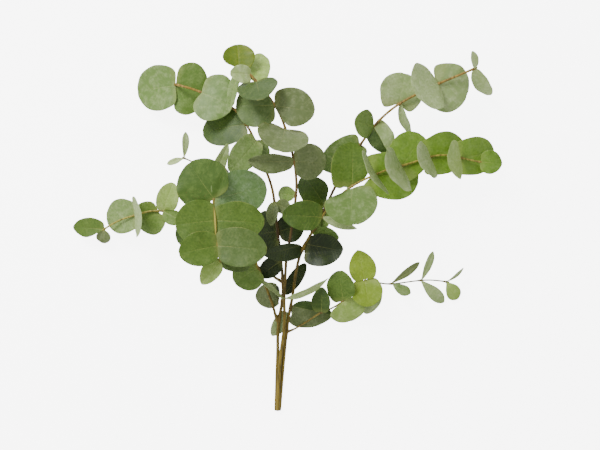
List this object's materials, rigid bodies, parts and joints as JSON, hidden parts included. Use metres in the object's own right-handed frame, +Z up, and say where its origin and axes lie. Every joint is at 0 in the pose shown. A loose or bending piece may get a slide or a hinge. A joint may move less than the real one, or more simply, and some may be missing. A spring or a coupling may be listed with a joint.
{
  "type": "bunch of dried eucalyptus",
  "caption": "Loose bunch of round-leaved eucalyptus: cut stems lying together at the ends, forking into side shoots with opposite pairs of round leathery leaves. It lies on a surface.",
  "frame": {"origin": "under the middle of the bunch's box, on the surface that the bunch lies on", "axes": "+X across the bunch, its longest extent, +Y from the cut stem ends to the crown, +Z up from the surface"},
  "size_m": [0.5204, 0.4406, 0.1096],
  "materials": {
    "stem_bark": "smooth thin bark, satin, olive yellow going to brown",
    "leaf_green": "leathery leaf with a waxy bloom, matt, mid green",
    "leaf_deep_green": "leathery leaf in the shaded heart of the bunch, matt, deep green",
    "leaf_yellow_green": "young leathery leaf, satin, yellow green, with some brown spots",
    "leaf_grey_green": "leathery leaf with a thick waxy bloom, matt, grey green"
  },
  "bodies": {
    "root": {"left_stem": "stem_bark", "middle_stem": "stem_bark", "right_stem": "stem_bark", "front_shoot": "stem_bark", "twig": "stem_bark", "left_shoot": "stem_bark", "right_shoot": "stem_bark", "lower_shoot": "stem_bark", "crown_left_end_pair": "leaf_green", "crown_left_upper_leaf": "leaf_grey_green", "crown_left_lower_leaf": "leaf_deep_green", "crown_left_inner_pair": "leaf_green", "crown_tip_pair": "leaf_yellow_green", "crown_top_pair": "leaf_green", "crown_top_leaf": "leaf_grey_green", "crown_middle_pair": "leaf_grey_green", "crown_hanging_leaf": "leaf_grey_green", "crown_lower_pair": "leaf_grey_green", "right_end_pair": "leaf_green", "right_crown_pair": "leaf_green", "right_upper_pair": "leaf_green", "right_middle_pair": "leaf_deep_green", "right_inner_leaf": "leaf_green", "right_front_inner_pair": "leaf_yellow_green", "right_front_upright_pair": "leaf_green", "right_front_middle_pair": "leaf_green", "right_front_outer_pair": "leaf_green", "right_front_end_pair": "leaf_green", "right_front_tip_leaf": "leaf_deep_green", "heart_left_pair": "leaf_green", "heart_upper_pair": "leaf_deep_green", "heart_small_leaf": "leaf_yellow_green", "heart_strip_pair": "leaf_grey_green", "heart_dark_pair": "leaf_deep_green", "heart_lower_pair": "leaf_deep_green", "heart_right_leaf": "leaf_green", "stem_dark_leaf": "leaf_deep_green", "stem_edge_pair": "leaf_grey_green", "stem_wide_pair": "leaf_green", "stem_folded_pair": "leaf_green", "sprig_first_leaf": "leaf_deep_green", "sprig_inner_pair": "leaf_yellow_green", "sprig_bend_pair": "leaf_yellow_green", "sprig_under_leaf": "leaf_green", "sprig_middle_pair": "leaf_grey_green", "sprig_outer_pair": "leaf_grey_green", "sprig_end_pair": "leaf_grey_green", "left_upright_pair": "leaf_green", "left_under_leaf": "leaf_green", "left_outer_pair": "leaf_green", "left_end_pair": "leaf_green", "front_upper_pair": "leaf_deep_green", "front_middle_pair": "leaf_green", "front_lower_pair": "leaf_green", "front_end_pair": "leaf_yellow_green", "front_behind_leaf": "leaf_deep_green", "front_low_leaf": "leaf_green", "left_hidden_leaf": "leaf_deep_green", "twig_leaf": "leaf_yellow_green", "twig_end_pair": "leaf_yellow_green"}
  },
  "joints": []
}
